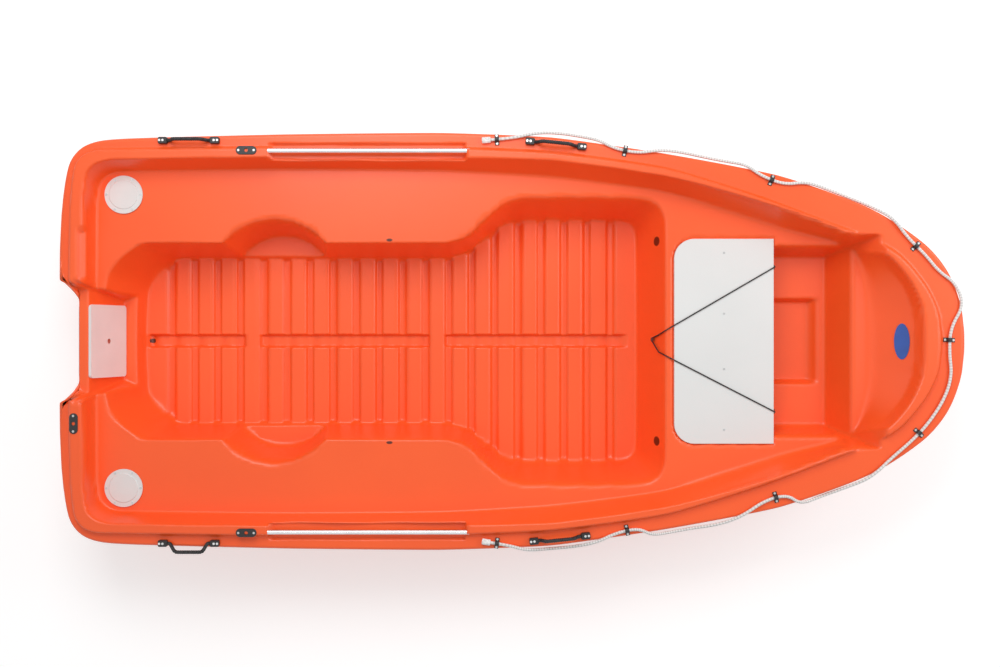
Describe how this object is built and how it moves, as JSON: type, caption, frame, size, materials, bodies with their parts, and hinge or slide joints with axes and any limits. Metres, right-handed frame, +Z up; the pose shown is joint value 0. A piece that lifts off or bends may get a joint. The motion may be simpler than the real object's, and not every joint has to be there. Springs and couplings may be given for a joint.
{
  "type": "rotomoulded dinghy",
  "caption": "Small open double-skinned workboat with side benches, ribbed sole, motor well, bow locker with lid, grab rails, carrying handles and a lifeline round the bow.",
  "frame": {"origin": "centre of the boat's length and beam, on the ground plane that the keel stands on", "axes": "+X towards the bow, +Y to port, +Z up"},
  "size_m": [3.5, 1.6474, 0.589],
  "materials": {
    "hull_orange": "satin rotomoulded polyethylene",
    "lid_white": "satin white sheet",
    "batten_wood": "plain",
    "fitting_white": "semi-gloss moulded plastic",
    "gasket_rubber": "matte",
    "stainless": "polished stainless tube",
    "screw_steel": "bright",
    "socket_black": "satin",
    "handle_black": "satin",
    "grip_rubber": "matte ribbed",
    "clip_black": "satin",
    "rope_white": "braided rope",
    "bungee_black": "woven cover",
    "drain_black": "satin",
    "badge_blue": "gloss"
  },
  "bodies": {
    "boat": {"badge": "badge_blue", "bungee_peg": "screw_steel", "clip_screws": "screw_steel", "drain_tube": "drain_black", "handle_caps_port_bow": "handle_black", "handle_caps_port_stern": "handle_black", "handle_caps_starboard_bow": "handle_black", "handle_caps_starboard_stern": "handle_black", "handle_screws": "screw_steel", "hatch_cover_port": "fitting_white", "hatch_cover_starboard": "fitting_white", "hatch_gasket_port": "gasket_rubber", "hatch_gasket_starboard": "gasket_rubber", "hatch_screws": "screw_steel", "hull": "hull_orange", "knot_port": "rope_white", "knot_starboard": "rope_white", "lifeline": "rope_white", "pad_bolt": "screw_steel", "pad_nut": "screw_steel", "rail_port": "stainless", "rail_starboard": "stainless", "rope_clip_1": "clip_black", "rope_clip_2": "clip_black", "rope_clip_3": "clip_black", "rope_clip_4": "clip_black", "rope_clip_5": "clip_black", "rope_clip_6": "clip_black", "rope_clip_7": "clip_black", "rope_clip_8": "clip_black", "rope_clip_9": "clip_black", "socket_port": "socket_black", "socket_screws": "screw_steel", "socket_starboard": "socket_black", "socket_stern": "socket_black", "transom_pad_inner": "fitting_white", "transom_pad_outer": "fitting_white"},
    "grip_port_stern": {"handle_grip_port_stern": "grip_rubber"},
    "grip_port_bow": {"handle_grip_port_bow": "grip_rubber"},
    "grip_starboard_stern": {"handle_grip_starboard_stern": "grip_rubber"},
    "grip_starboard_bow": {"handle_grip_starboard_bow": "grip_rubber"},
    "lid": {"lid": "lid_white", "lid_batten": "batten_wood", "lid_screws": "screw_steel", "bungee_anchors": "clip_black", "bungee": "bungee_black"},
    "bung": {"drain_bung": "drain_black"}
  },
  "joints": [
    {"name": "handle_swing_port_stern", "type": "hinge", "parent": "boat", "child": "grip_port_stern", "pos_m": [-1.241, 0.783, 0.4935], "axis": [1, 0, 0], "range_deg": [-85, 30]},
    {"name": "handle_swing_port_bow", "type": "hinge", "parent": "boat", "child": "grip_port_bow", "pos_m": [0.18888, 0.768, 0.49961], "axis": [0.9944, -0.1045, 0.0124], "range_deg": [-85, 30]},
    {"name": "handle_swing_starboard_stern", "type": "hinge", "parent": "boat", "child": "grip_starboard_stern", "pos_m": [-1.241, -0.786, 0.4935], "axis": [1, 0, 0], "range_deg": [-115, 0]},
    {"name": "handle_swing_starboard_bow", "type": "hinge", "parent": "boat", "child": "grip_starboard_bow", "pos_m": [0.20388, -0.766, 0.49979], "axis": [0.9944, 0.1045, 0.0124], "range_deg": [-30, 85]},
    {"name": "lid_lift", "type": "slide", "parent": "boat", "child": "lid", "axis": [0, 0, 1], "range_m": [0, 0.25], "deforming": ["bungee"]},
    {"name": "bung_pull", "type": "slide", "parent": "boat", "child": "bung", "axis": [-1, 0, 0], "range_m": [0, 0.06]}
  ]
}
